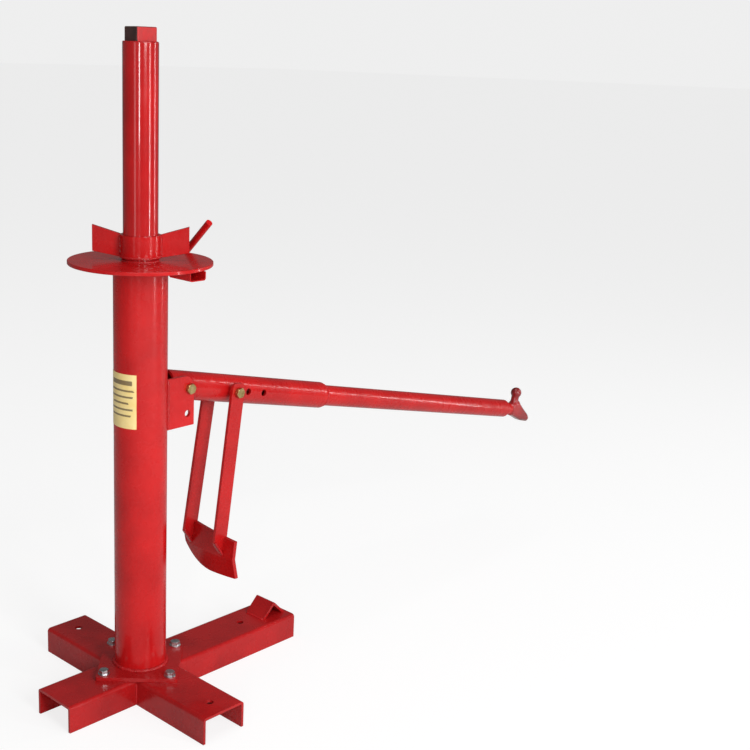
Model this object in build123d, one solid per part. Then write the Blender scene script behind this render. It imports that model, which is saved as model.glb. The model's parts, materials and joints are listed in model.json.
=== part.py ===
from build123d import *
import math
import os

# Manual tyre changer with a bead-breaker arm.
# Millimetres, +Z up. The origin is on the column axis at floor level. +X runs along the long leg and the arm,
# and +Y is to the left when looking along +X.

# ---- driving dimensions: base ----
leg_width = 76.0
leg_height = 40.0
leg_sheet = 4.0
leg_bend = 5.0
long_leg_front = -156.0
long_leg_back = 292.0
side_leg_reach = 186.0
anchor_hole_radius = 5.5
side_anchor_reach = 156.0
long_anchor_reach = 205.0

plate_side = 119.0
plate_thickness = 6.0
plate_corner = 3.0
foot_bolt_reach = 68.0
foot_bolt_radius = 4.0
foot_bolt_length = 24.0
foot_across_flats = 13.0
foot_head_height = 5.3
foot_nut_height = 6.5
foot_washer_radius = 8.5
foot_washer_thickness = 1.6

stop_angle_leg = 35.0
stop_sheet = 4.0
stop_length = 40.0
stop_reach = 262.0

# ---- driving dimensions: column, table and post ----
column_radius = 38.05
column_wall = 3.2
table_top = 650.0
table_thickness = 5.0
table_radius = 100.0
post_radius = 24.15
post_wall = 2.6
post_top = 938.0
drive_side = 32.0
drive_corner = 3.0
drive_turn = -5.5
drive_top = 958.0
drive_depth = 26.0

guide_width = 28.0
guide_height = 12.0
guide_sheet = 1.5
front_guide_offset = 19.0
side_guide_offset = 30.0
guide_start = 55.0
guide_end = 98.0
pin_radius = 5.0
pin_bend = 7.5
pin_offset = 37.2
pin_inner = 47.0
pin_outer = 105.8
pin_inner_leg = 75.0
pin_outer_leg = 82.0
pin_lean = 46.2
pin_axis_height = table_top - table_thickness - guide_height + guide_sheet + pin_radius + 0.2

collar_radius = 27.8
collar_bore = 24.65
collar_bottom = 654.0
collar_height = 31.5
wing_lines = (132.0, -40.0)
wing_thickness = 5.0
wing_tip = 66.5
wing_tip_rise = 7.0
wing_tip_height = 36.0

# ---- driving dimensions: bracket and arm ----
bracket_gap = 43.4
bracket_sheet = 5.0
bracket_reach = 77.0
bracket_bottom = 406.0
bracket_top = 480.5
bracket_round = 17.0
pivot_x = 68.8
pivot_z = 461.2
spare_pivot_x = 65.0
spare_pivot_z = 424.5

arm_slope = 12.75
arm_tube_radius = 21.2
handle_radius = 16.85
handle_bore = 12.7
arm_rear = -26.1
arm_front = 314.0
arm_chamfer = 5.0
handle_rear = 262.0
handle_front = 858.0
hole_pitch = 33.3
first_hole = 92.8

bolt_radius = 5.0
running_gap = 0.1
fixed_gap = 0.05
hex_across_flats = 14.0
hex_head_height = 5.6
hex_nut_height = 8.0
washer_radius = 10.0
washer_thickness = 2.0

# ---- driving dimensions: shoe ----
bar_inner = 28.3
bar_sheet = 5.0
bar_width = 25.0
bar_top = 14.0
bar_length = 257.0
bar_bevel = 21.5
bar_bevel_height = 24.0
bar_straight = 25.0
bar_splay = 4.0
shoe_lean = 8.6
spacer_radius = 8.0
side_gap = 0.3

blade_near = -58.0
blade_far = 54.0
blade_thickness = 6.0
blade_top_near = 215.5
blade_top_far = 225.0
blade_fold = 187.0
blade_bottom = 155.0
blade_curve_start = -10.0
blade_curve_middle = (33.0, 171.0)
blade_curve_end = 198.0
blade_top_back = 141.5
blade_top_bulge = 3.0
blade_fold_back = 137.0
blade_fold_bulge = 6.0
blade_bottom_back = 144.0
blade_bottom_bulge = 8.0

# ---- driving dimensions: mount bar ----
bar_rod_radius = 11.5
bar_rod_rear = 220.0
bar_rod_front = 877.0
head_width = 20.0
knob_radius = 10.5
knob_reach = 16.5
knob_rise = 33.0
neck_radius = 7.5
# the head's side outline: distance past the rod's end, and height over the rod's axis
head_outline = [
    (0, 11),
    (9, 12),
    (12, 16),
    (24, 18),
    (31, 12),
    (47, 2),
    (63, -7),
    (69, -14),
    (65, -22),
    (42, -21),
    (24, -16),
    (11, -13),
    (0, -12),
]

# ---- driving dimensions: label ----
label_bottom = 418.0
label_top = 496.0
label_sheet = 0.4
label_start = -215.0
label_end = -137.0

os.makedirs("parts", exist_ok=True)


def save(shape, name):
    shape.label = name
    export_step(shape, f"parts/{name}.step")


def upright(radius, low, high, x=0.0, y=0.0):
    """A solid cylinder along Z between two heights."""
    return Pos(x, y, (low + high) / 2) * Cylinder(radius, high - low)


def along_y(radius, low, high, x, z):
    """A solid cylinder along Y between two places."""
    return Pos(x, (low + high) / 2, z) * Rot(90, 0, 0) * Cylinder(radius, abs(high - low))


def box(x0, x1, y0, y1, z0, z1):
    """A box between two corners."""
    middle = Pos((x0 + x1) / 2, (y0 + y1) / 2, (z0 + z1) / 2)
    return middle * Box(abs(x1 - x0), abs(y1 - y0), abs(z1 - z0))


def channel(width, height, sheet, bend, length):
    """A folded channel along +X from the origin, open side down, standing on z = 0."""
    outer = Pos(0, height / 2) * Rectangle(width, height)
    outer = fillet(outer.vertices().group_by(Axis.Y)[-1], bend)
    inner = Pos(0, (height - sheet) / 2) * Rectangle(width - 2 * sheet, height - sheet)
    inner = fillet(inner.vertices().group_by(Axis.Y)[-1], max(bend - sheet, 0.5))
    profile = Plane.YZ * (outer - inner)
    return extrude(profile, amount=length)


def hex_prism(across, low, high):
    """A hexagon along Z whose top corners are turned down by a 30 degree chamfer."""
    prism = extrude(RegularPolygon(across / 2, 6, major_radius=False), amount=high - low)
    corner = across / math.sqrt(3)
    drop = (corner - across / 2) * math.tan(math.radians(30))
    cone_height = high - low
    blank = Pos(0, 0, (cone_height - drop) / 2) * Cylinder(corner + 0.1, cone_height - drop)
    cone = Pos(0, 0, cone_height - drop / 2) * Cone(corner + 0.05, across / 2, drop)
    return Pos(0, 0, low) * (prism & (blank + cone))


def hex_bolt(radius, length, across, head):
    """A bolt whose head stands on z = 0 and whose shank runs down."""
    return hex_prism(across, 0, head) + Pos(0, 0, -length / 2) * Cylinder(radius, length)


def hex_nut(radius, across, height):
    """A nut standing on z = 0."""
    return hex_prism(across, 0, height) - Pos(0, 0, height / 2) * Cylinder(radius, height + 2)


def ring(outer, inner, height):
    """A flat washer standing on z = 0."""
    return Pos(0, 0, height / 2) * (Cylinder(outer, height) - Cylinder(inner, height + 2))


# ---- base ----
plate_top = leg_height + plate_thickness
foot_places = [(foot_bolt_reach, 0), (-foot_bolt_reach, 0), (0, foot_bolt_reach), (0, -foot_bolt_reach)]


def make_long_leg():
    leg = Pos(long_leg_front, 0, 0) * channel(
        leg_width, leg_height, leg_sheet, leg_bend, long_leg_back - long_leg_front
    )
    for reach in (foot_bolt_reach, -foot_bolt_reach):
        leg -= upright(foot_bolt_radius + fixed_gap, 0, plate_top, reach)
    return leg - upright(anchor_hole_radius, 0, plate_top, long_anchor_reach)


def make_side_leg(side):
    start = leg_width / 2
    leg = Pos(start, 0, 0) * channel(leg_width, leg_height, leg_sheet, leg_bend, side_leg_reach - start)
    leg -= upright(foot_bolt_radius + fixed_gap, 0, plate_top, foot_bolt_reach)
    leg -= upright(anchor_hole_radius, 0, plate_top, side_anchor_reach)
    return Rot(0, 0, 90 * side) * leg


def make_foot_plate():
    outline = RectangleRounded(plate_side, plate_side, plate_corner)
    plate = Pos(0, 0, leg_height) * Rot(0, 0, 45) * extrude(outline, amount=plate_thickness)
    for x, y in foot_places:
        plate -= upright(foot_bolt_radius + fixed_gap, leg_height - 1, plate_top + 1, x, y)
    return plate


def make_foot_fasteners():
    turns = (10, 35, 52, 22)
    bolts, washers, nuts = [], [], []
    web_bottom = leg_height - leg_sheet
    for (x, y), turn in zip(foot_places, turns):
        place = Pos(x, y, plate_top)
        washers.append(place * ring(foot_washer_radius, foot_bolt_radius + fixed_gap, foot_washer_thickness))
        bolt = hex_bolt(foot_bolt_radius, foot_bolt_length, foot_across_flats, foot_head_height)
        bolts.append(place * Pos(0, 0, foot_washer_thickness) * Rot(0, 0, turn) * bolt)
        nut = hex_nut(foot_bolt_radius + fixed_gap, foot_across_flats, foot_nut_height)
        nuts.append(Pos(x, y, web_bottom - foot_nut_height) * Rot(0, 0, turn) * nut)
    return Compound(children=bolts), Compound(children=washers), Compound(children=nuts)


def make_tyre_stop():
    """An angle iron with both edges down on the leg and its corner up."""
    side = stop_angle_leg
    angle = Rectangle(side, side, align=(Align.MIN, Align.MIN))
    inner = Pos(stop_sheet, stop_sheet) * Rectangle(side, side, align=(Align.MIN, Align.MIN))
    corner = (angle - inner).vertices().sort_by_distance((0, 0, 0))[0]
    profile = fillet(corner, 3.0)
    standing = Rot(0, 0, -135) * profile
    solid = extrude(Plane.XZ * standing, amount=stop_length)
    solid = Pos(stop_reach, stop_length / 2, leg_height + side / math.sqrt(2)) * solid
    return solid - box(stop_reach - 60, stop_reach + 60, -60, 60, leg_height - 20, leg_height)


# ---- column, table and post ----
def upright_tube(radius, wall, low, high):
    """A tube along Z between two heights."""
    section = Circle(radius) - Circle(radius - wall)
    return Pos(0, 0, low) * extrude(section, amount=high - low)


def make_table():
    table = upright(table_radius, table_top - table_thickness, table_top)
    return chamfer(table.edges().filter_by(GeomType.CIRCLE), 0.6)


def make_guide(offset, turn):
    """A folded channel under the table, open side up, beside a radius of the table."""
    guide = Rot(180, 0, 0) * channel(guide_width, guide_height, guide_sheet, 3.5, guide_end - guide_start)
    guide = Pos(guide_start, offset, table_top - table_thickness) * guide
    return Rot(0, 0, turn) * guide


def make_drive():
    outline = RectangleRounded(drive_side, drive_side, drive_corner)
    block = Pos(0, 0, post_top - drive_depth) * extrude(outline, amount=drive_top - post_top + drive_depth)
    return Rot(0, 0, drive_turn) * chamfer(block.edges().group_by(Axis.Z)[-1], 1.0)


def make_collar():
    sleeve = ring(collar_radius, collar_bore, collar_height)
    return Pos(0, 0, collar_bottom) * sleeve


def make_wing(turn):
    """A flat wing on the sleeve whose lower and upper edges both rise outwards."""
    root = collar_radius - 1.0
    low = collar_bottom
    outline = Polyline(
        (root, low),
        (wing_tip, low + wing_tip_rise),
        (wing_tip, low + wing_tip_rise + wing_tip_height),
        (root, low + collar_height),
        close=True,
    )
    face = make_face(outline)
    wing = extrude(Plane.XZ * face, amount=wing_thickness / 2, both=True)
    wing -= upright(collar_radius, low - 5, low + 60)
    return Rot(0, 0, turn) * wing


def make_drive_pin():
    """A rod bent twice: it lies in the side guide, and its two legs point opposite ways."""
    lean = math.radians(pin_lean)
    out_y, out_z = -math.sin(lean), math.cos(lean)
    start = Vector(pin_inner, pin_offset, pin_axis_height)
    end = Vector(pin_outer, pin_offset, pin_axis_height)
    inner_tip = start - Vector(0, out_y, out_z) * pin_inner_leg
    outer_tip = end + Vector(0, out_y, out_z) * pin_outer_leg
    path = FilletPolyline(inner_tip, start, end, outer_tip, radius=pin_bend)
    profile = Plane(inner_tip, z_dir=(start - inner_tip).normalized()) * Circle(pin_radius)
    return sweep(profile, path=path)


# ---- bracket ----
def make_bracket_plate(side):
    near = bracket_gap / 2
    outline = Polyline(
        (20, bracket_bottom),
        (bracket_reach, bracket_bottom),
        (bracket_reach, bracket_top),
        (20, bracket_top),
        close=True,
    )
    face = make_face(outline)
    corner = face.vertices().sort_by_distance((bracket_reach, bracket_top, 0))[0]
    face = fillet(corner, bracket_round)
    plate = extrude(Plane.XZ * face, amount=-bracket_sheet)
    if side > 0:
        plate = Pos(0, near, 0) * plate
    else:
        plate = Pos(0, -near - bracket_sheet, 0) * plate
    plate -= upright(column_radius, bracket_bottom - 10, bracket_top + 10)
    for x, z in ((pivot_x, pivot_z), (spare_pivot_x, spare_pivot_z)):
        plate -= along_y(bolt_radius + fixed_gap, -60, 60, x, z)
    return plate


# ---- arm: made along +X from the pivot, then turned down by the slope ----
arm_place = Pos(pivot_x, 0, pivot_z) * Rot(0, arm_slope, 0)
shoe_hole = first_hole
spare_holes = [first_hole + hole_pitch, first_hole + 2 * hole_pitch]


def along_x(radius, low, high):
    """A solid cylinder along X between two places."""
    return Pos((low + high) / 2, 0, 0) * Rot(0, 90, 0) * Cylinder(radius, high - low)


def make_arm_tube():
    tube = along_x(arm_tube_radius, arm_rear, arm_front)
    tube = chamfer(tube.edges().group_by(Axis.X)[-1], arm_chamfer - 0.1, arm_chamfer)
    tube -= along_x(handle_radius + fixed_gap, arm_rear - 1, arm_front + 1)
    tube -= along_y(bolt_radius + running_gap, -60, 60, 0, 0)
    for place in [shoe_hole] + spare_holes:
        tube -= along_y(bolt_radius + fixed_gap, -60, 60, place, 0)
    return arm_place * tube


def make_handle_tube():
    tube = along_x(handle_radius, handle_rear, handle_front)
    tube = chamfer(tube.edges().group_by(Axis.X)[-1], 1.5)
    return arm_place * (tube - along_x(handle_bore, handle_rear - 1, handle_front + 1))


def cross_bolt(face, across_length, x, z, turn):
    """A bolt along Y whose head bears at y = -face, on the right-hand side."""
    bolt = hex_bolt(bolt_radius, across_length, hex_across_flats, hex_head_height)
    return Pos(x, -face, z) * Rot(90, 0, 0) * Rot(0, 0, turn) * bolt


def cross_nut(face, x, z, turn):
    """A nut along Y that bears at y = +face, on the left-hand side."""
    nut = hex_nut(bolt_radius + fixed_gap, hex_across_flats, hex_nut_height)
    return Pos(x, face, z) * Rot(-90, 0, 0) * Rot(0, 0, turn) * nut


def make_pivot_set():
    face = bracket_gap / 2 + bracket_sheet
    washer = ring(washer_radius, bolt_radius + fixed_gap, washer_thickness)
    bolt = cross_bolt(face, 2 * face + washer_thickness + hex_nut_height + 4, pivot_x, pivot_z, 12)
    nut = cross_nut(face + washer_thickness, pivot_x, pivot_z, 20)
    washer = Pos(pivot_x, face, pivot_z) * Rot(-90, 0, 0) * washer
    return bolt, nut, washer


def make_shoe_fasteners():
    face = bar_inner + bar_sheet + side_gap
    bolt = arm_place * cross_bolt(face, 2 * face + hex_nut_height + 4, shoe_hole, 0, 18)
    nut = arm_place * cross_nut(face, shoe_hole, 0, 5)
    spacers = []
    for side in (-1, 1):
        spacer = along_y(spacer_radius, side * 10.0, side * (bar_inner - side_gap), shoe_hole, 0)
        spacer -= along_y(bolt_radius + fixed_gap, -60, 60, shoe_hole, 0)
        spacer -= along_x(arm_tube_radius, shoe_hole - 40, shoe_hole + 40)
        spacers.append(arm_place * spacer)
    return bolt, nut, Compound(children=spacers)


# ---- shoe ----
slope = math.radians(arm_slope)
shoe_x = pivot_x + shoe_hole * math.cos(slope)
shoe_z = pivot_z - shoe_hole * math.sin(slope)


def blade_section(height, back, bulge):
    """A bowed strip at one height: its ends are at x = back and its middle stands nearer to the column."""
    half = max(blade_far, -blade_near) + 4
    front_x = back - blade_thickness
    front = ThreePointArc((front_x, -half), (front_x - bulge, 0), (front_x, half))
    rear = ThreePointArc((back, half), (back - bulge, 0), (back, -half))
    outline = front + Line((front_x, half), (back, half)) + rear + Line((back, -half), (front_x, -half))
    return Pos(0, 0, height) * make_face(outline)


def blade_outline():
    """The blade seen along X: its far lower corner is cut back on a curve."""
    near_bottom = (blade_near, blade_bottom)
    curve_start = (blade_curve_start, blade_bottom)
    curve_end = (blade_far, blade_curve_end)
    top_corners = [(blade_far, blade_top_far), (blade_near, blade_top_near)]
    edges = Polyline(curve_end, *top_corners, near_bottom, curve_start)
    return make_face(edges + ThreePointArc(curve_start, blade_curve_middle, curve_end))


def make_blade():
    sections = [
        blade_section(blade_bottom, blade_bottom_back, blade_bottom_bulge),
        blade_section(blade_fold, blade_fold_back, blade_fold_bulge),
        blade_section(blade_top_far, blade_top_back, blade_top_bulge),
    ]
    return loft(sections, ruled=True) & extrude(Plane.YZ * blade_outline(), amount=2 * blade_bottom_back)


def make_shoe_bar(side, blade):
    """A flat bar that leans out sideways below its hinge; its lower rear corner is cut off."""
    half = bar_width / 2
    face_outline = Polyline(
        (-half, bar_top),
        (half, bar_top),
        (half, -bar_length),
        (-half + bar_bevel, -bar_length),
        (-half, -bar_length + bar_bevel_height),
        close=True,
    )
    face = extrude(Plane.XZ * make_face(face_outline), amount=100, both=True)
    face = fillet(face.edges().filter_by(Axis.Y).group_by(Axis.Z)[-1], 8.0)
    inner = bar_inner
    outer = bar_inner + bar_sheet
    edge_outline = Polyline(
        (side * inner, bar_top),
        (side * outer, bar_top),
        (side * outer, -bar_straight),
        (side * (outer + bar_splay), -bar_length),
        (side * (inner + bar_splay), -bar_length),
        (side * inner, -bar_straight),
        close=True,
    )
    bar = face & extrude(Plane.YZ * make_face(edge_outline), amount=100, both=True)
    bar = Pos(shoe_x, 0, shoe_z) * Rot(0, shoe_lean, 0) * bar
    bar -= along_y(bolt_radius + running_gap, -80, 80, shoe_x, shoe_z)
    pieces = (bar - blade).solids()
    return sorted(pieces, key=lambda piece: piece.volume)[-1]


# ---- mount bar: made along +X from the pivot, as the arm is ----
def make_bar_rod():
    rod = along_x(bar_rod_radius, bar_rod_rear, bar_rod_front)
    rod = chamfer(rod.edges().group_by(Axis.X)[0], 3.0)
    return arm_place * rod


def make_bar_head():
    """A forged hook head: a round knob on a neck above, and a thick tongue below."""
    side = make_face(Polyline(*head_outline, close=True))
    body = extrude(Plane.XZ * side, amount=head_width / 2, both=True)
    body = chamfer(body.edges().filter_by(Axis.Y, reverse=True), 4.0)
    neck = upright(neck_radius, 0, knob_rise, knob_reach)
    knob = Pos(knob_reach, 0, knob_rise) * Sphere(knob_radius)
    return arm_place * Pos(bar_rod_front, 0, 0) * (body + neck + knob)


# ---- label ----
def make_label():
    """A thin plain plate rolled round the column."""
    shell = Circle(column_radius + label_sheet) - Circle(column_radius)
    shell = extrude(shell, amount=label_top - label_bottom)
    reach = 80.0
    first = math.radians(label_start)
    last = math.radians(label_end)
    middle = (first + last) / 2
    points = [(reach * math.cos(a), reach * math.sin(a)) for a in (first, middle, last)]
    wedge = extrude(make_face(Polyline((0, 0), *points, close=True)), amount=label_top - label_bottom)
    return Pos(0, 0, label_bottom) * (shell & wedge)


save(make_long_leg(), "long_leg")
save(make_side_leg(1), "side_leg_left")
save(make_side_leg(-1), "side_leg_right")
save(make_foot_plate(), "foot_plate")
foot_bolts, foot_washers, foot_nuts = make_foot_fasteners()
save(foot_bolts, "foot_bolts")
save(foot_washers, "foot_washers")
save(foot_nuts, "foot_nuts")
save(make_tyre_stop(), "tyre_stop")

column = upright_tube(column_radius, column_wall, plate_top, table_top - table_thickness)
save(column, "column_tube")
save(make_label(), "label_plate")
save(make_bracket_plate(1), "bracket_plate_left")
save(make_bracket_plate(-1), "bracket_plate_right")
save(make_table(), "wheel_table")
save(make_guide(front_guide_offset, -90), "pin_guide_front")
save(make_guide(side_guide_offset, 0), "pin_guide_side")
save(upright_tube(post_radius, post_wall, table_top, post_top), "centre_post")
save(make_drive(), "square_drive")

save(make_collar(), "hub_collar_sleeve")
save(make_wing(wing_lines[0]), "hub_collar_wing_left")
save(make_wing(wing_lines[1]), "hub_collar_wing_right")
save(make_drive_pin(), "drive_pin")

pivot_bolt, pivot_nut, pivot_washer = make_pivot_set()
save(pivot_bolt, "pivot_bolt")
save(pivot_nut, "pivot_nut")
save(pivot_washer, "pivot_washer")
save(make_arm_tube(), "arm_tube")
save(make_handle_tube(), "handle_tube")
shoe_bolt, shoe_nut, shoe_spacers = make_shoe_fasteners()
save(shoe_bolt, "shoe_bolt")
save(shoe_nut, "shoe_nut")
save(shoe_spacers, "shoe_spacers")

shoe_blade = make_blade()
save(make_shoe_bar(1, shoe_blade), "shoe_bar_left")
save(make_shoe_bar(-1, shoe_blade), "shoe_bar_right")
save(shoe_blade, "shoe_blade")
save(make_bar_rod(), "mount_bar_rod")
save(make_bar_head(), "mount_bar_head")
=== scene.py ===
"""Looks for the manual tyre changer: enamel, zinc, weld beads, label, forged head, floor, light and camera.

Places round the welds are in millimetres in the CAD's frame, and lights and camera are in metres.
"""
import bpy
import bmesh
import json
import math
import random
from mathutils import Matrix, Vector


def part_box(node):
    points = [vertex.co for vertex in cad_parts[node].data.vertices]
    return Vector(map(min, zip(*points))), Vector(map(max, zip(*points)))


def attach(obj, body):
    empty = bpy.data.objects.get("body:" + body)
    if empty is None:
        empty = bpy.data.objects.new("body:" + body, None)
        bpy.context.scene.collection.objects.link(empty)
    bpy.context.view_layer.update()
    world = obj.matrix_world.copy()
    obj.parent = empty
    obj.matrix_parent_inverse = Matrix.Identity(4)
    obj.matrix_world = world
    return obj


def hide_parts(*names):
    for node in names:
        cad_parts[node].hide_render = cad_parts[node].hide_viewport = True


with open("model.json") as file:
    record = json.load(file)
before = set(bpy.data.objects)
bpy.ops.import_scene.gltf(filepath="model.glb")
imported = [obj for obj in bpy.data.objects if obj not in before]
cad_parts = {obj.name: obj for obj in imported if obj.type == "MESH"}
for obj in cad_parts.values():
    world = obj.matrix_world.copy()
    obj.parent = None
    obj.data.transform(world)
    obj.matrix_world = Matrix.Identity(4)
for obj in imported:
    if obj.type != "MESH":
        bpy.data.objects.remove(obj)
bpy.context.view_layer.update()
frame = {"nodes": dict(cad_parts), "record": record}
MM = 0.001
random.seed(7)

# sizes of the CAD's pieces that the looks follow, in millimetres and degrees
DRIVE_TURN = -5.5
DRIVE_FACE = 16.0
DRIVE_TOP = 958.0
LABEL_START = -35.0
LABEL_END = 43.0
COLUMN_RADIUS = 38.05
POST_RADIUS = 24.15
SLEEVE_RADIUS = 27.8
HANDLE_RADIUS = 16.85
PLATE_TOP = 46.0
TABLE_BOTTOM = 645.0
TABLE_TOP = 650.0
POST_TOP = 938.0
LEG_HALF_WIDTH = 38.0
BRACKET_OUTSIDE = 26.7
ARM_FRONT = 314.0
STOP_PLACE = 262.0
WING_LINES = (("left", 132.0), ("right", -40.0))


# ---------- node helpers ----------
def new_material(name):
    material = bpy.data.materials.new(name)
    material.use_nodes = True
    nodes = material.node_tree.nodes
    nodes.clear()
    output = nodes.new("ShaderNodeOutputMaterial")
    shader = nodes.new("ShaderNodeBsdfPrincipled")
    material.node_tree.links.new(shader.outputs[0], output.inputs[0])
    return material, nodes, material.node_tree.links, shader


def noise(nodes, links, coords, scale, detail=4.0, rough=0.5):
    node = nodes.new("ShaderNodeTexNoise")
    node.inputs["Scale"].default_value = scale
    node.inputs["Detail"].default_value = detail
    node.inputs["Roughness"].default_value = rough
    links.new(coords, node.inputs["Vector"])
    return node.outputs["Fac"]


def ramp(nodes, links, value, stops):
    node = nodes.new("ShaderNodeValToRGB")
    links.new(value, node.inputs["Fac"])
    elements = node.color_ramp.elements
    while len(elements) < len(stops):
        elements.new(0.5)
    for element, (place, colour) in zip(elements, stops):
        element.position = place
        element.color = (*colour, 1.0)
    return node.outputs["Color"]


def math_node(nodes, links, kind, first, second=None, third=None):
    node = nodes.new("ShaderNodeMath")
    node.operation = kind
    for socket, value in zip(node.inputs, (first, second, third)):
        if value is None:
            continue
        if isinstance(value, (int, float)):
            socket.default_value = value
        else:
            links.new(value, socket)
    return node.outputs[0]


def mix_colour(nodes, links, factor, first, second):
    node = nodes.new("ShaderNodeMix")
    node.data_type = "RGBA"
    for socket, value in ((node.inputs[0], factor), (node.inputs[6], first), (node.inputs[7], second)):
        if isinstance(value, (int, float)):
            socket.default_value = value
        elif isinstance(value, tuple):
            socket.default_value = (*value, 1.0)
        else:
            links.new(value, socket)
    return node.outputs[2]


def bump(nodes, links, height, strength, distance, normal=None):
    node = nodes.new("ShaderNodeBump")
    node.inputs["Strength"].default_value = strength
    node.inputs["Distance"].default_value = distance
    links.new(height, node.inputs["Height"])
    if normal is not None:
        links.new(normal, node.inputs["Normal"])
    return node.outputs["Normal"]


def object_coords(nodes):
    return nodes.new("ShaderNodeTexCoord").outputs["Object"]


def rounded_normal(nodes, radius):
    """The surface's normal with its sharp edges rounded by a radius in millimetres."""
    edge = nodes.new("ShaderNodeBevel")
    edge.samples = 6
    edge.inputs["Radius"].default_value = radius * MM
    return edge.outputs[0]


def grey_ramp(nodes, links, value, low, high):
    """A grey ramp from two stops, each a place and a level."""
    return ramp(nodes, links, value, [(place, (level,) * 3) for place, level in (low, high)])


def seen_apart(nodes, links, others, seen, output):
    """One shader for camera rays and another for all the rest."""
    path = nodes.new("ShaderNodeLightPath")
    pick = nodes.new("ShaderNodeMixShader")
    links.new(path.outputs["Is Camera Ray"], pick.inputs[0])
    links.new(others, pick.inputs[1])
    links.new(seen, pick.inputs[2])
    links.new(pick.outputs[0], output)


# ---------- materials ----------
def edge_mask(nodes, links, radius, low, high):
    """1 on sharp edges, where a rounded normal differs from the face's own, and 0 elsewhere."""
    rounded = rounded_normal(nodes, radius)
    geometry = nodes.new("ShaderNodeNewGeometry")
    dot = nodes.new("ShaderNodeVectorMath")
    dot.operation = "DOT_PRODUCT"
    links.new(rounded, dot.inputs[0])
    links.new(geometry.outputs["Normal"], dot.inputs[1])
    return rounded, grey_ramp(nodes, links, dot.outputs["Value"], (low, 1.0), (high, 0.0))


def enamel(name, deep, bright, orange_peel, edge_radius=0.9, coat=0.25, rough=(0.20, 0.36)):
    """Gloss enamel on welded steel: slow colour changes, orange peel, runs, and thin paint on the edges."""
    material, nodes, links, shader = new_material(name)
    coords = object_coords(nodes)
    slow = noise(nodes, links, coords, 14.0, 3.0, 0.55)
    colour = ramp(nodes, links, slow, [(0.32, deep), (0.68, bright)])
    specks = noise(nodes, links, coords, 520.0, 2.0, 0.6)
    dust = grey_ramp(nodes, links, specks, (0.64, 0.0), (0.76, 1.0))
    dust_tint = tuple(min(1.0, c * 1.35 + 0.02) for c in bright)
    dusted = mix_colour(nodes, links, math_node(nodes, links, "MULTIPLY", dust, 0.3), colour, dust_tint)
    rounded, sharp = edge_mask(nodes, links, edge_radius, 0.90, 0.995)
    chips = grey_ramp(nodes, links, noise(nodes, links, coords, 130.0, 5.0, 0.7), (0.5, 0.0), (0.62, 1.0))
    worn = math_node(nodes, links, "MULTIPLY", sharp, chips)
    worn_colour = tuple(c * 0.4 + 0.01 for c in deep)
    final = mix_colour(nodes, links, math_node(nodes, links, "MULTIPLY", worn, 0.6), dusted, worn_colour)
    links.new(final, shader.inputs["Base Color"])
    smears = noise(nodes, links, coords, 36.0, 5.0, 0.65)
    links.new(grey_ramp(nodes, links, smears, (0.3, rough[0]), (0.75, rough[1])), shader.inputs["Roughness"])
    shader.inputs["Coat Weight"].default_value = coat
    shader.inputs["Coat Roughness"].default_value = 0.06
    shader.inputs["Specular IOR Level"].default_value = 0.25
    peel = noise(nodes, links, coords, 230.0, 3.0, 0.5)
    runs = noise(nodes, links, coords, 45.0, 2.0, 0.5)
    rough_steel = bump(nodes, links, runs, 0.10, 1.2 * MM, rounded)
    peeled = bump(nodes, links, peel, orange_peel, 0.5 * MM, rough_steel)
    links.new(peeled, shader.inputs["Normal"])
    return material


def block_with_painted_shade(name):
    """The drive block: red enamel, with painted shade in a dark colour on its -X face, and darker on its top."""
    material, nodes, links, shader = new_material(name)
    coords = object_coords(nodes)
    split = nodes.new("ShaderNodeSeparateXYZ")
    links.new(coords, split.inputs[0])
    cloud = noise(nodes, links, coords, 90.0, 5.0, 0.65)
    turn = math.radians(DRIVE_TURN)
    facing = nodes.new("ShaderNodeVectorMath")
    facing.operation = "DOT_PRODUCT"
    facing.inputs[1].default_value = (-math.cos(turn), -math.sin(turn), 0.0)
    links.new(coords, facing.inputs[0])
    ragged = math_node(nodes, links, "MULTIPLY_ADD", cloud, 3.0 * MM, facing.outputs["Value"])
    # painted shade: the -X face, which the light leaves dark, is painted dark, with a ragged edge
    painted_shade_side = math_node(nodes, links, "GREATER_THAN", ragged, (DRIVE_FACE + 0.6) * MM)
    # the top is painted darker too, at 0.6 strength
    dark_top = math_node(nodes, links, "GREATER_THAN", split.outputs[2], (DRIVE_TOP - 1.2) * MM)
    shade_and_dark_top = math_node(nodes, links, "MAXIMUM", painted_shade_side, math_node(nodes, links, "MULTIPLY", dark_top, 0.6))
    red = ramp(nodes, links, cloud, [(0.3, (0.40, 0.008, 0.009)), (0.7, (0.56, 0.012, 0.013))])
    # the dark colour of the painted shade on the -X face and of the darker top
    steel = ramp(nodes, links, cloud, [(0.35, (0.045, 0.026, 0.023)), (0.65, (0.09, 0.04, 0.036))])
    links.new(mix_colour(nodes, links, shade_and_dark_top, red, steel), shader.inputs["Base Color"])
    links.new(grey_ramp(nodes, links, cloud, (0.3, 0.3), (0.7, 0.5)), shader.inputs["Roughness"])
    shader.inputs["Specular IOR Level"].default_value = 0.35
    links.new(bump(nodes, links, cloud, 0.25, 0.6 * MM, rounded_normal(nodes, 0.9)), shader.inputs["Normal"])
    return material


def plated(name, low, high, tint=None):
    """Zinc plate on a turned or forged fastener: fine grain, faint stains, brighter edges."""
    material, nodes, links, shader = new_material(name)
    coords = object_coords(nodes)
    cloud = noise(nodes, links, coords, 120.0, 4.0, 0.6)
    stops = [(0.3, low), (0.7, high)]
    if tint is not None:
        stops = [(0.28, low), (0.5, tint), (0.72, high)]
    links.new(ramp(nodes, links, cloud, stops), shader.inputs["Base Color"])
    shader.inputs["Metallic"].default_value = 1.0
    grain = noise(nodes, links, coords, 900.0, 3.0, 0.6)
    links.new(grey_ramp(nodes, links, grain, (0.25, 0.22), (0.8, 0.4)), shader.inputs["Roughness"])
    links.new(bump(nodes, links, grain, 0.12, 0.15 * MM, rounded_normal(nodes, 0.5)), shader.inputs["Normal"])
    return material


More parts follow.
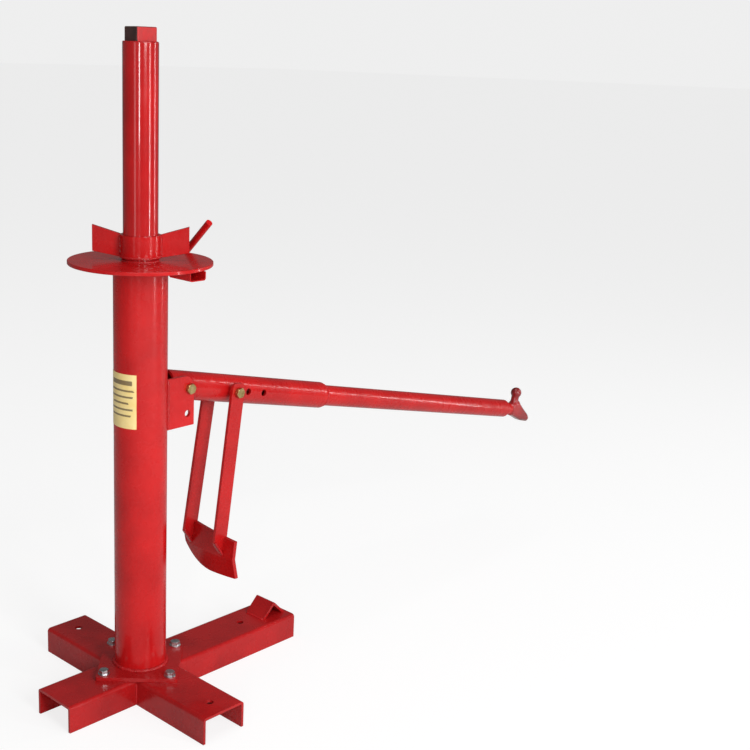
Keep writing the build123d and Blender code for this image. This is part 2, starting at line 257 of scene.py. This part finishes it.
def label_print(name, low_corner, high_corner):
    """Cream label with a dark heading bar and plain rule lines, placed by height and by angle round the column."""
    material, nodes, links, shader = new_material(name)
    coords = object_coords(nodes)
    split = nodes.new("ShaderNodeSeparateXYZ")
    links.new(coords, split.inputs[0])
    x, y, z = split.outputs
    bottom, top = low_corner.z, high_corner.z
    height = math_node(nodes, links, "DIVIDE", math_node(nodes, links, "SUBTRACT", z, bottom), top - bottom)
    angle = math_node(nodes, links, "ARCTAN2", math_node(nodes, links, "MULTIPLY", y, -1.0),
                      math_node(nodes, links, "MULTIPLY", x, -1.0))
    start, end = math.radians(LABEL_START), math.radians(LABEL_END)
    across = math_node(nodes, links, "DIVIDE", math_node(nodes, links, "SUBTRACT", angle, start), end - start)

    def band(value, low, high):
        above = math_node(nodes, links, "GREATER_THAN", value, low)
        below = math_node(nodes, links, "LESS_THAN", value, high)
        return math_node(nodes, links, "MULTIPLY", above, below)

    fuzz = noise(nodes, links, coords, 300.0, 2.0)
    ragged = math_node(nodes, links, "ADD", across, math_node(nodes, links, "MULTIPLY", fuzz, 0.16))
    mask = math_node(nodes, links, "MULTIPLY", band(height, 0.80, 0.885), band(across, 0.12, 0.88))
    for row, (low, high) in enumerate(((0.14, 1.0), (0.10, 0.98), (0.24, 0.84), (0.12, 0.97), (0.16, 0.93))):
        level = 0.68 - row * 0.115
        line = math_node(nodes, links, "MULTIPLY", band(height, level, level + 0.035), band(ragged, low, high))
        mask = math_node(nodes, links, "MAXIMUM", mask, line)
    stain = noise(nodes, links, coords, 60.0, 4.0)
    cream = ramp(nodes, links, stain, [(0.3, (0.96, 0.70, 0.24)), (0.7, (1.0, 0.80, 0.36))])
    ink = math_node(nodes, links, "MULTIPLY", mask, 0.82)
    links.new(mix_colour(nodes, links, ink, cream, (0.10, 0.055, 0.03)), shader.inputs["Base Color"])
    links.new(grey_ramp(nodes, links, stain, (0.3, 0.3), (0.7, 0.42)), shader.inputs["Roughness"])
    shader.inputs["Coat Weight"].default_value = 0.3
    shader.inputs["Coat Roughness"].default_value = 0.15
    links.new(bump(nodes, links, fuzz, 0.05, 0.1 * MM), shader.inputs["Normal"])
    return material


red_bright = enamel("enamel_column", (0.46, 0.005, 0.006), (0.60, 0.008, 0.009), 0.12)
red_post = enamel("enamel_post", (0.42, 0.005, 0.006), (0.54, 0.008, 0.009), 0.05, 0.9, 1.0, (0.16, 0.28))
red_base = enamel("enamel_base", (0.34, 0.007, 0.008), (0.48, 0.010, 0.011), 0.16)
red_arm = enamel("enamel_arm", (0.42, 0.006, 0.007), (0.56, 0.009, 0.009), 0.14)
red_weld = enamel("enamel_weld", (0.36, 0.007, 0.009), (0.54, 0.012, 0.015), 0.25, 0.2)
red_forged = enamel("enamel_head", (0.10, 0.003, 0.004), (0.42, 0.007, 0.008), 0.3, 0.4, 0.9, (0.16, 0.3))
# the drive block's material, with painted shade on its -X face
drive_painted_shade = block_with_painted_shade("enamel_drive")
white_zinc = plated("zinc_white", (0.40, 0.42, 0.44), (0.72, 0.73, 0.74))
yellow_zinc = plated("zinc_yellow", (0.30, 0.20, 0.07), (0.60, 0.47, 0.24), (0.46, 0.34, 0.14))
label_low, label_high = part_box("label_plate")
label_material = label_print("label_print", Vector(label_low), Vector(label_high))

node_materials = {
    "long_leg": red_base, "side_leg_left": red_base, "side_leg_right": red_base, "foot_plate": red_base,
    "tyre_stop": red_base, "centre_post": red_post, "square_drive": drive_painted_shade, "label_plate": label_material,
    "foot_bolts": white_zinc, "foot_washers": white_zinc, "foot_nuts": white_zinc,
    "pivot_bolt": yellow_zinc, "pivot_nut": yellow_zinc, "pivot_washer": yellow_zinc,
    "shoe_bolt": yellow_zinc, "shoe_nut": yellow_zinc,
    "arm_tube": red_arm, "handle_tube": red_arm, "shoe_spacers": red_arm, "shoe_bar_left": red_arm,
    "shoe_bar_right": red_arm, "shoe_blade": red_arm, "mount_bar_rod": red_arm, "mount_bar_head": red_arm,
}
for node_name, node in frame["nodes"].items():
    finish = node_materials.get(node_name, red_bright)
    node.data.materials.clear()
    node.data.materials.append(finish)


# ---------- weld beads ----------
def sample_path(points, spacing, closed):
    """Points at an even spacing along straight runs, with the distance walked so far."""
    runs = list(zip(points, points[1:] + points[:1] if closed else points[1:]))
    samples = []
    walked = 0.0
    for start, end in runs:
        length = (end - start).length
        steps = max(1, round(length / spacing))
        for step in range(steps):
            samples.append((start.lerp(end, step / steps), walked + length * step / steps))
        walked += length
    if not closed:
        samples.append((points[-1], walked))
    return samples


def bead(name, body, points, radius, closed=False, pitch=3.4):
    """A rippled weld bead in millimetres along a path, painted with the rest."""
    path = [Vector(point) for point in points]
    samples = sample_path(path, 0.9, closed)
    count = len(samples)
    sides = 9
    mesh_builder = bmesh.new()
    rings = []
    side_axis = Vector((0, 0, 1))
    first_direction = (path[1] - path[0]).normalized()
    if abs(first_direction.dot(side_axis)) > 0.9:
        side_axis = Vector((1, 0, 0))
    for index, (place, walked) in enumerate(samples):
        ahead = samples[(index + 1) % count][0] if closed or index < count - 1 else place
        behind = samples[index - 1][0] if closed or index > 0 else place
        direction = (ahead - behind).normalized()
        side_axis = (side_axis - direction * side_axis.dot(direction)).normalized()
        other_axis = direction.cross(side_axis)
        ripple = 0.84 + 0.16 * abs(math.sin(math.pi * walked / pitch)) + random.uniform(-0.05, 0.05)
        if not closed:
            end_distance = min(index, count - 1 - index)
            ripple *= min(1.0, 0.45 + 0.2 * end_distance)
        wander = Vector([random.uniform(-0.12, 0.12) * radius for _ in range(3)])
        ring = []
        for side in range(sides):
            angle = 2 * math.pi * side / sides
            offset = (side_axis * math.cos(angle) + other_axis * math.sin(angle)) * radius * ripple
            ring.append(mesh_builder.verts.new((place + wander + offset) * MM))
        rings.append(ring)
    pairs = list(zip(rings, rings[1:] + rings[:1] if closed else rings[1:]))
    for first, second in pairs:
        for side in range(sides):
            after = (side + 1) % sides
            mesh_builder.faces.new((first[side], first[after], second[after], second[side]))
    if not closed:
        mesh_builder.faces.new(list(reversed(rings[0])))
        mesh_builder.faces.new(rings[-1])
    bmesh.ops.recalc_face_normals(mesh_builder, faces=mesh_builder.faces)
    mesh = bpy.data.meshes.new(name)
    mesh_builder.to_mesh(mesh)
    mesh_builder.free()
    mesh.polygons.foreach_set("use_smooth", [True] * len(mesh.polygons))
    mesh.materials.append(red_weld)
    piece = bpy.data.objects.new(name, mesh)
    bpy.context.scene.collection.objects.link(piece)
    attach(piece, body)


def circle(radius, height, steps=72):
    """Points round the column at one height, in millimetres."""
    turns = [math.radians(360.0 * step / steps) for step in range(steps)]
    return [(radius * math.cos(turn), radius * math.sin(turn), height) for turn in turns]


joints = {joint["name"]: joint for joint in frame["record"]["behaviour"]["joints"]}
pivot = Vector(joints["arm_pivot"]["pos_m"]) / MM
arm_along = Vector(joints["mount_bar_slide"]["axis"]).normalized()
arm_up = Vector((-arm_along.z, 0, arm_along.x))


def arm_circle(radius, along, steps=48):
    """Points round the arm at one distance from its pivot, in millimetres."""
    places = []
    for step in range(steps):
        turn = 2 * math.pi * step / steps
        place = pivot + arm_along * along + arm_up * radius * math.cos(turn)
        places.append(tuple(place + Vector((0, radius * math.sin(turn), 0))))
    return places


def make_ring_welds():
    """Beads all the way round: the column, the post, the drive block and the collar."""
    bead("weld_column_foot", "stand", circle(COLUMN_RADIUS + 0.55, PLATE_TOP + 0.6), 3.3, True)
    bead("weld_column_head", "stand", circle(COLUMN_RADIUS + 0.55, TABLE_BOTTOM - 0.6), 2.8, True)
    bead("weld_post_foot", "stand", circle(POST_RADIUS + 0.55, TABLE_TOP + 0.3), 2.2, True)
    bead("weld_drive_block", "stand", circle(POST_RADIUS - 1.85, POST_TOP), 1.6, True)
    bead("weld_collar_rim", "hub_collar", circle(SLEEVE_RADIUS - 0.2, 655.6), 1.7, True, 2.6)


def make_wing_welds():
    """Two upright beads at the root of each wing."""
    for name, turn in WING_LINES:
        for side in (-1, 1):
            angle = math.radians(turn)
            outward = Vector((math.cos(angle), math.sin(angle), 0))
            across = Vector((-outward.y, outward.x, 0)) * side * 3.0
            root = outward * (SLEEVE_RADIUS + 0.1) + across
            ends = [root + Vector((0, 0, 656)), root + Vector((0, 0, 684))]
            bead(f"weld_wing_{name}_{'b' if side > 0 else 'a'}", "hub_collar", ends, 2.0)


def make_stand_welds():
    """Beads on the bracket, the legs' corners, the tyre stop and the pin guides."""
    for name, side in (("left", 1), ("right", -1)):
        x = math.sqrt(COLUMN_RADIUS ** 2 - BRACKET_OUTSIDE ** 2) + 0.8
        y = side * (BRACKET_OUTSIDE + 0.3)
        bead(f"weld_bracket_{name}", "stand", [(x, y, 408), (x, y, 479)], 2.4)
        corner = LEG_HALF_WIDTH + 0.6
        for end, reach in (("front", -corner), ("back", corner)):
            bead(f"weld_leg_{name}_{end}", "stand", [(reach, side * corner, 1.5), (reach, side * corner, 35)], 1.7)
    for name, x in (("near", STOP_PLACE - 24.4), ("far", STOP_PLACE + 24.4)):
        bead(f"weld_stop_{name}", "stand", [(x, -19, 40.2), (x, 19, 40.2)], 2.0)
    guide_weld = TABLE_BOTTOM - 0.8
    for name, x in (("near", 5.0), ("far", 33.0)):
        bead(f"weld_front_guide_{name}", "stand", [(x, -94, guide_weld), (x, -56, guide_weld)], 1.5)
    for name, y in (("near", 16.0), ("far", 44.0)):
        bead(f"weld_side_guide_{name}", "stand", [(56, y, guide_weld), (88, y, guide_weld)], 1.5)


def make_arm_welds():
    """The bead at the step from arm to handle, and the beads between the flat bars and the blade."""
    bead("weld_arm_step", "arm", arm_circle(HANDLE_RADIUS + 0.75, ARM_FRONT + 0.6), 1.9, True)
    bead("weld_bar_right_bevel", "shoe", [(112.9, -38.3, 214), (129.4, -39.0, 189.5)], 2.1)
    bead("weld_bar_right_face", "shoe", [(135.4, -38.0, 213), (131.4, -38.6, 190)], 1.6)
    bead("weld_bar_left_bevel", "shoe", [(112.9, 31.3, 214), (129.4, 32.0, 189.5)], 2.1)
    bead("weld_bar_left_outer", "shoe", [(135.4, 37.0, 217), (131.4, 37.6, 190)], 1.8)


def make_forged_head():
    """The mount bar's head with the CAD's size but a forging's soft corners."""
    source = frame["nodes"]["mount_bar_head"]
    blank = bpy.data.objects.new("forging_blank", source.data.copy())
    bpy.context.scene.collection.objects.link(blank)
    remesh = blank.modifiers.new("remesh", "REMESH")
    remesh.mode = "VOXEL"
    remesh.voxel_size = 1.0 * MM
    soften = blank.modifiers.new("soften", "SMOOTH")
    soften.factor = 0.5
    soften.iterations = 9
    depsgraph = bpy.context.evaluated_depsgraph_get()
    mesh = bpy.data.meshes.new_from_object(blank.evaluated_get(depsgraph))
    bpy.data.objects.remove(blank)
    mesh.name = "forged_head"
    mesh.polygons.foreach_set("use_smooth", [True] * len(mesh.polygons))
    mesh.materials.clear()
    mesh.materials.append(red_forged)
    piece = bpy.data.objects.new("forged_head", mesh)
    bpy.context.scene.collection.objects.link(piece)
    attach(piece, "mount_bar")
    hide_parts("mount_bar_head")


# ---------- floor ----------
def make_floor():
    """A pale floor: real reflectance for the object's light, and a nearly white paper seen by the camera."""
    mesh = bpy.data.meshes.new("floor")
    size = 60.0
    mesh.from_pydata([(-size, -size, 0), (size, -size, 0), (size, size, 0), (-size, size, 0)], [], [(0, 1, 2, 3)])
    floor = bpy.data.objects.new("floor", mesh)
    bpy.context.scene.collection.objects.link(floor)
    material, nodes, links, shader = new_material("floor_paper")
    cloud = noise(nodes, links, object_coords(nodes), 3.0, 2.0)
    links.new(grey_ramp(nodes, links, cloud, (0.3, 0.74), (0.7, 0.80)), shader.inputs["Base Color"])
    shader.inputs["Roughness"].default_value = 0.9
    shader.inputs["Specular IOR Level"].default_value = 0.1
    paper = nodes.new("ShaderNodeBsdfDiffuse")
    paper.inputs["Color"].default_value = (0.24, 0.24, 0.24, 1.0)
    glow = nodes.new("ShaderNodeEmission")
    glow.inputs["Strength"].default_value = 0.80
    seen = nodes.new("ShaderNodeAddShader")
    links.new(paper.outputs[0], seen.inputs[0])
    links.new(glow.outputs[0], seen.inputs[1])
    surface = next(node for node in nodes if node.type == "OUTPUT_MATERIAL").inputs[0]
    seen_apart(nodes, links, shader.outputs[0], seen.outputs[0], surface)
    mesh.materials.append(material)


# ---------- light and camera ----------
LIT_MIDDLE = (0.2, 0.0, 0.45)


def area_light(name, place, width, height, power):
    """A white rectangle of light that faces the middle of the machine."""
    data = bpy.data.lights.new(name, "AREA")
    data.shape = "RECTANGLE"
    data.size = width
    data.size_y = height
    data.energy = power
    lamp = bpy.data.objects.new(name, data)
    bpy.context.scene.collection.objects.link(lamp)
    lamp.location = place
    lamp.rotation_euler = (Vector(LIT_MIDDLE) - Vector(place)).to_track_quat("-Z", "Y").to_euler()


def around(azimuth, distance, height):
    """A place at a compass angle from the column, in metres."""
    turn = math.radians(azimuth)
    return (distance * math.cos(turn), distance * math.sin(turn), height)


def make_world():
    """A white studio to the camera, and a dimmer one as ambient light."""
    world = bpy.data.worlds.new("studio")
    bpy.context.scene.world = world
    world.use_nodes = True
    nodes = world.node_tree.nodes
    links = world.node_tree.links
    nodes.clear()
    output = nodes.new("ShaderNodeOutputWorld")
    seen = nodes.new("ShaderNodeBackground")
    seen.inputs["Strength"].default_value = 0.86
    ambient = nodes.new("ShaderNodeBackground")
    ambient.inputs["Strength"].default_value = 0.15
    for background in (seen, ambient):
        background.inputs["Color"].default_value = (1.0, 1.0, 1.0, 1.0)
    seen_apart(nodes, links, ambient.outputs[0], seen.outputs[0], output.inputs[0])


def make_light():
    """A key from the camera's right, upright strips for the tubes' streaks, a weak fill and a soft top light."""
    area_light("key_soft", around(262, 3.2, 1.7), 0.9, 1.6, 62)
    area_light("front_strip", around(223.5, 3.2, 1.25), 0.24, 1.4, 24)
    area_light("strip_wide", around(292, 3.0, 0.9), 0.10, 2.4, 24)
    area_light("strip_thin", around(334, 3.0, 0.9), 0.07, 2.4, 14)
    area_light("fill_left", around(195, 3.2, 1.0), 0.6, 1.8, 5)
    area_light("top_soft", (0.2, -0.3, 3.4), 2.0, 2.0, 27)


def make_camera():
    """The photograph's viewpoint, from the front left of the long leg."""
    data = bpy.data.cameras.new("camera")
    camera = bpy.data.objects.new("camera", data)
    bpy.context.scene.collection.objects.link(camera)
    data.sensor_width = 36.0
    data.lens = 58.82
    data.shift_x = 0.1215
    data.shift_y = 0.0148
    camera.location = (-1.0509, -1.3108, 0.9281)
    heading, down, roll = 0.77437, 0.26392, -0.03199
    forward = Vector((math.cos(heading) * math.cos(down), math.sin(heading) * math.cos(down), -math.sin(down)))
    right = Vector((math.sin(heading), -math.cos(heading), 0.0))
    below = forward.cross(right)
    turned_right = math.cos(roll) * right + math.sin(roll) * below
    turned_below = -math.sin(roll) * right + math.cos(roll) * below
    axes = Matrix((turned_right, -turned_below, -forward)).transposed()
    camera.rotation_euler = axes.to_euler()
    data.clip_start = 0.05
    data.clip_end = 100
    bpy.context.scene.camera = camera


make_ring_welds()
make_wing_welds()
make_stand_welds()
make_arm_welds()
make_forged_head()
make_floor()
make_world()
make_light()
make_camera()
bpy.context.scene.view_settings.view_transform = "Standard"
